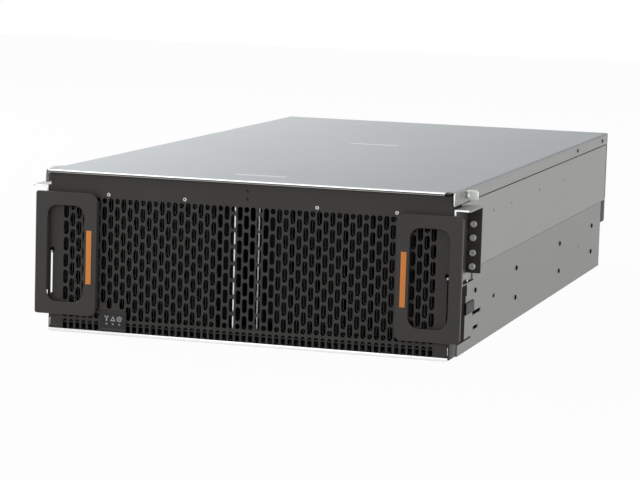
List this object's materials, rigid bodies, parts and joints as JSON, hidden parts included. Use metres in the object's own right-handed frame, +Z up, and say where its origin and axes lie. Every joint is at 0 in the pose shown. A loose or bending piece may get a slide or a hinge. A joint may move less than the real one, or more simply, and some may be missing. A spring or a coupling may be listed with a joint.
{
  "type": "disk shelf enclosure",
  "caption": "Four-unit rack shelf of top-loaded disk drives with a slotted front bezel, pull handles, latched sliding cover and rear fan, power and I/O modules.",
  "frame": {"origin": "middle of the bottom face, in the plane of the rack posts (the rear faces of the two ears)", "axes": "+Y to the rear, +Z up, +X to the right seen from the front"},
  "size_m": [0.4826, 0.8672, 0.1753],
  "materials": {
    "zinc_sheet": "zinc-plated sheet, satin",
    "bezel_paint": "dark grey fine-texture powder paint",
    "handle_paint": "dark grey fine-texture powder paint",
    "orange_plastic": "matt orange",
    "plated_steel": "bright plated",
    "drive_metal": "cast and stamped aluminium",
    "board_green": "solder mask",
    "black_plastic": "moulded, fine grain",
    "panel_gloss": "gloss film",
    "lens_clear": "clear light pipe",
    "latch_pale": "bright plated tab",
    "release_blue": "matt blue"
  },
  "bodies": {
    "chassis": {"base_tray": "zinc_sheet", "side_wall_left": "zinc_sheet", "side_wall_right": "zinc_sheet", "front_beam": "zinc_sheet", "drive_deck": "zinc_sheet", "backplane": "board_green", "centre_beam": "zinc_sheet", "row_walls": "zinc_sheet", "drives_row_1": "drive_metal", "drives_row_2": "drive_metal", "drives_row_3": "drive_metal", "drives_row_4": "drive_metal", "drives_row_5": "drive_metal", "drive_connectors": "black_plastic", "drive_levers": "black_plastic", "front_bezel": "bezel_paint", "bezel_screws": "plated_steel", "status_panel": "panel_gloss", "status_lenses": "lens_clear", "handle_left": "handle_paint", "handle_right": "handle_paint", "handle_strip_left": "orange_plastic", "handle_strip_right": "orange_plastic", "ear_left": "handle_paint", "ear_right": "handle_paint", "rack_screws": "plated_steel", "bulkhead": "zinc_sheet", "bay_shelf": "zinc_sheet", "bay_dividers": "zinc_sheet"},
    "cover": {"top_cover": "zinc_sheet", "cover_side_left": "zinc_sheet", "cover_side_right": "zinc_sheet", "cover_rivets": "plated_steel", "latch_base_left": "zinc_sheet", "latch_base_right": "zinc_sheet"},
    "cover_latch_left": {"latch_tab_left": "latch_pale"},
    "rail_lock_body_left": {"rail_lock_left": "black_plastic"},
    "cover_latch_right": {"latch_tab_right": "latch_pale"},
    "rail_lock_body_right": {"rail_lock_right": "black_plastic"},
    "psu_module_left": {"psu_left": "zinc_sheet", "psu_inlet_left": "black_plastic", "psu_handle_left": "plated_steel"},
    "psu_release_left": {"psu_latch_left": "release_blue"},
    "psu_module_right": {"psu_right": "zinc_sheet", "psu_inlet_right": "black_plastic", "psu_handle_right": "plated_steel"},
    "psu_release_right": {"psu_latch_right": "release_blue"},
    "io_drawer_left": {"io_module_left": "zinc_sheet", "io_ports_left": "plated_steel"},
    "io_cam_left": {"io_lever_left": "release_blue"},
    "io_drawer_right": {"io_module_right": "zinc_sheet", "io_ports_right": "plated_steel"},
    "io_cam_right": {"io_lever_right": "release_blue"},
    "fan_drawer_1": {"fan_module_1": "black_plastic"},
    "fan_spin_1": {"fan_rotor_1": "black_plastic"},
    "fan_drawer_2": {"fan_module_2": "black_plastic"},
    "fan_spin_2": {"fan_rotor_2": "black_plastic"},
    "fan_drawer_3": {"fan_module_3": "black_plastic"},
    "fan_spin_3": {"fan_rotor_3": "black_plastic"},
    "fan_drawer_4": {"fan_module_4": "black_plastic"},
    "fan_spin_4": {"fan_rotor_4": "black_plastic"}
  },
  "joints": [
    {"name": "cover_slide", "type": "slide", "parent": "chassis", "child": "cover", "axis": [0, 1, 0], "range_m": [0, 0.022]},
    {"name": "cover_latch_left_hinge", "type": "hinge", "parent": "cover", "child": "cover_latch_left", "pos_m": [-0.2277, -0.012, 0.1694], "axis": [0, 0, 1], "range_deg": [0, 35], "stiffness_Nm_per_rad": 0.03},
    {"name": "rail_lock_left_press", "type": "slide", "parent": "chassis", "child": "rail_lock_body_left", "axis": [1, 0, 0], "range_m": [0, 0.002], "stiffness_N_per_m": 900},
    {"name": "cover_latch_right_hinge", "type": "hinge", "parent": "cover", "child": "cover_latch_right", "pos_m": [0.2277, -0.012, 0.1694], "axis": [0, 0, 1], "range_deg": [-35, 0], "stiffness_Nm_per_rad": 0.03},
    {"name": "rail_lock_right_press", "type": "slide", "parent": "chassis", "child": "rail_lock_body_right", "axis": [-1, 0, 0], "range_m": [0, 0.002], "stiffness_N_per_m": 900},
    {"name": "psu_module_left_slide", "type": "slide", "parent": "chassis", "child": "psu_module_left", "axis": [0, 1, 0], "range_m": [0, 0.2]},
    {"name": "psu_release_left_press", "type": "slide", "parent": "psu_module_left", "child": "psu_release_left", "axis": [-1, 0, 0], "range_m": [0, 0.003], "stiffness_N_per_m": 500},
    {"name": "psu_module_right_slide", "type": "slide", "parent": "chassis", "child": "psu_module_right", "axis": [0, 1, 0], "range_m": [0, 0.2]},
    {"name": "psu_release_right_press", "type": "slide", "parent": "psu_module_right", "child": "psu_release_right", "axis": [-1, 0, 0], "range_m": [0, 0.003], "stiffness_N_per_m": 500},
    {"name": "io_drawer_left_slide", "type": "slide", "parent": "chassis", "child": "io_drawer_left", "axis": [0, 1, 0], "range_m": [0, 0.2]},
    {"name": "io_cam_left_hinge", "type": "hinge", "parent": "io_drawer_left", "child": "io_cam_left", "pos_m": [-0.10255, 0.7826, 0.012], "axis": [0, 0, 1], "range_deg": [0, 75]},
    {"name": "io_drawer_right_slide", "type": "slide", "parent": "chassis", "child": "io_drawer_right", "axis": [0, 1, 0], "range_m": [0, 0.2]},
    {"name": "io_cam_right_hinge", "type": "hinge", "parent": "io_drawer_right", "child": "io_cam_right", "pos_m": [0.0089, 0.7826, 0.012], "axis": [0, 0, 1], "range_deg": [0, 75]},
    {"name": "fan_drawer_1_slide", "type": "slide", "parent": "chassis", "child": "fan_drawer_1", "axis": [0, 1, 0], "range_m": [0, 0.08]},
    {"name": "fan_rotor_1_spin", "type": "hinge", "parent": "fan_drawer_1", "child": "fan_spin_1", "pos_m": [-0.16485, 0.7846, 0.116], "axis": [0, 1, 0], "continuous": true},
    {"name": "fan_drawer_2_slide", "type": "slide", "parent": "chassis", "child": "fan_drawer_2", "axis": [0, 1, 0], "range_m": [0, 0.08]},
    {"name": "fan_rotor_2_spin", "type": "hinge", "parent": "fan_drawer_2", "child": "fan_spin_2", "pos_m": [-0.05495, 0.7846, 0.116], "axis": [0, 1, 0], "continuous": true},
    {"name": "fan_drawer_3_slide", "type": "slide", "parent": "chassis", "child": "fan_drawer_3", "axis": [0, 1, 0], "range_m": [0, 0.08]},
    {"name": "fan_rotor_3_spin", "type": "hinge", "parent": "fan_drawer_3", "child": "fan_spin_3", "pos_m": [0.05495, 0.7846, 0.116], "axis": [0, 1, 0], "continuous": true},
    {"name": "fan_drawer_4_slide", "type": "slide", "parent": "chassis", "child": "fan_drawer_4", "axis": [0, 1, 0], "range_m": [0, 0.08]},
    {"name": "fan_rotor_4_spin", "type": "hinge", "parent": "fan_drawer_4", "child": "fan_spin_4", "pos_m": [0.16485, 0.7846, 0.116], "axis": [0, 1, 0], "continuous": true}
  ]
}
